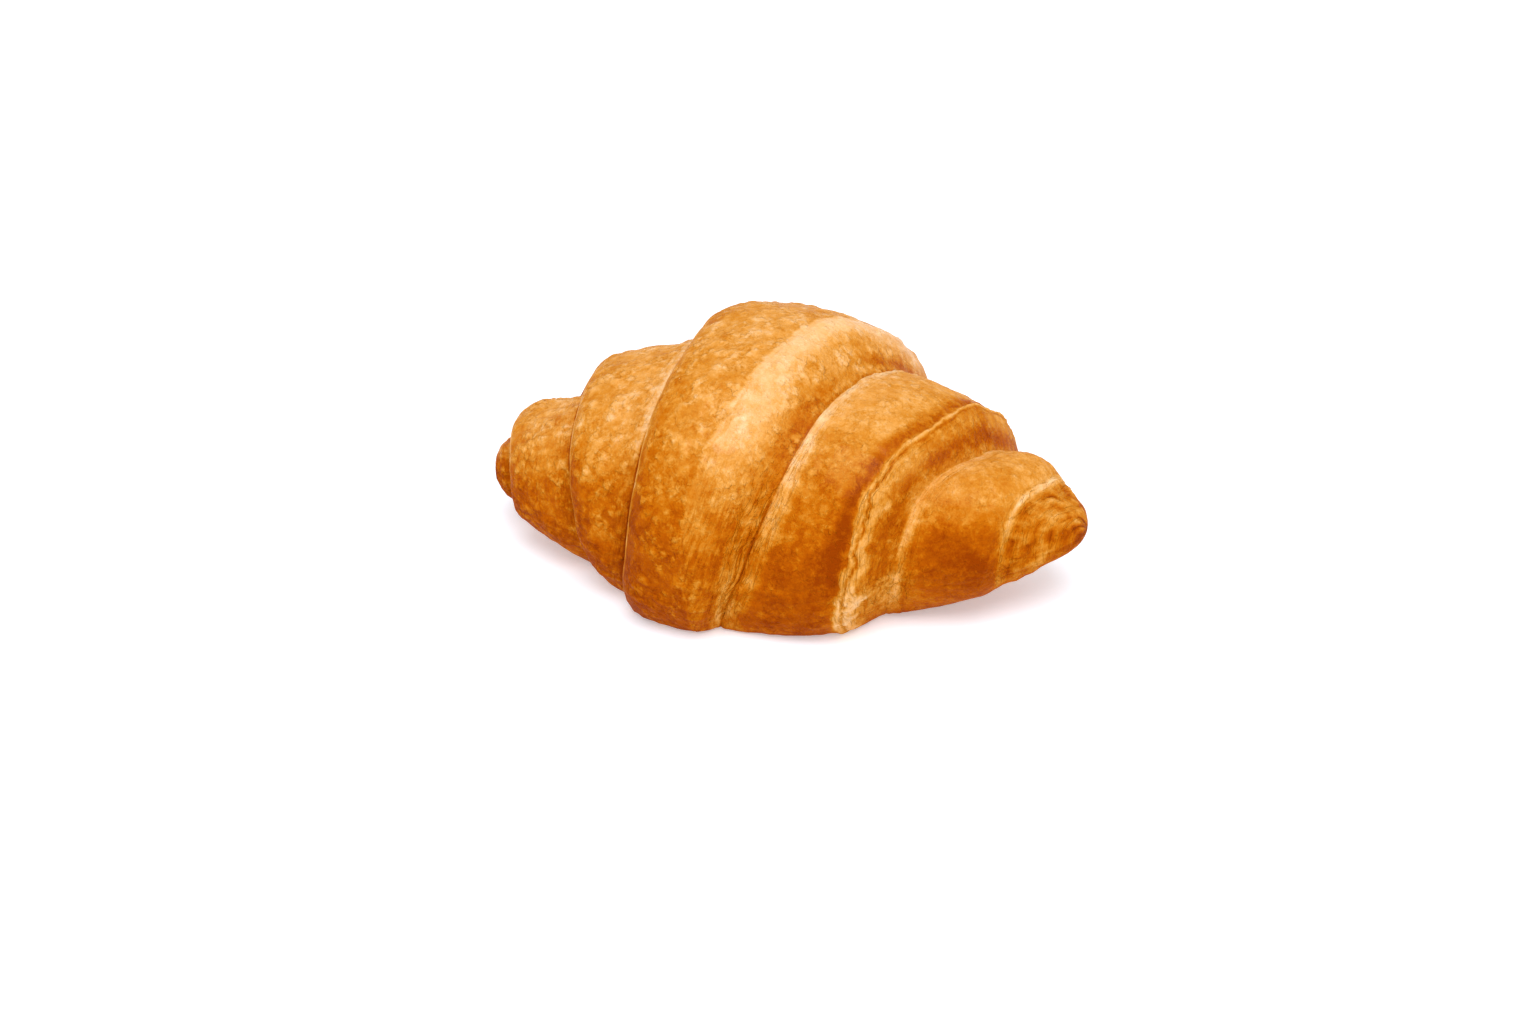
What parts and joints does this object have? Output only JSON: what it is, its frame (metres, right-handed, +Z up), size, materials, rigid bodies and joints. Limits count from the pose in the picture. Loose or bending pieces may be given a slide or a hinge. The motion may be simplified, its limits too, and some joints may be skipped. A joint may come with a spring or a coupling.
{
  "type": "croissant",
  "caption": "Baked butter croissant: a plump rolled crescent of laminated dough with overlapping wraps, deep folds and tapered rolled tips, resting on its flat foot.",
  "frame": {"origin": "middle of the footprint, on the tray the croissant rests on", "axes": "+X along the roll towards its more open-layered tip, -Y is the front, +Z up"},
  "size_m": [0.1402, 0.0908, 0.0585],
  "materials": {
    "crust": "egg-washed baked crust, golden to deep amber brown, softly glossy, paler where the layers were cut or stretched"
  },
  "bodies": {
    "root": {"croissant": "crust"}
  },
  "joints": []
}
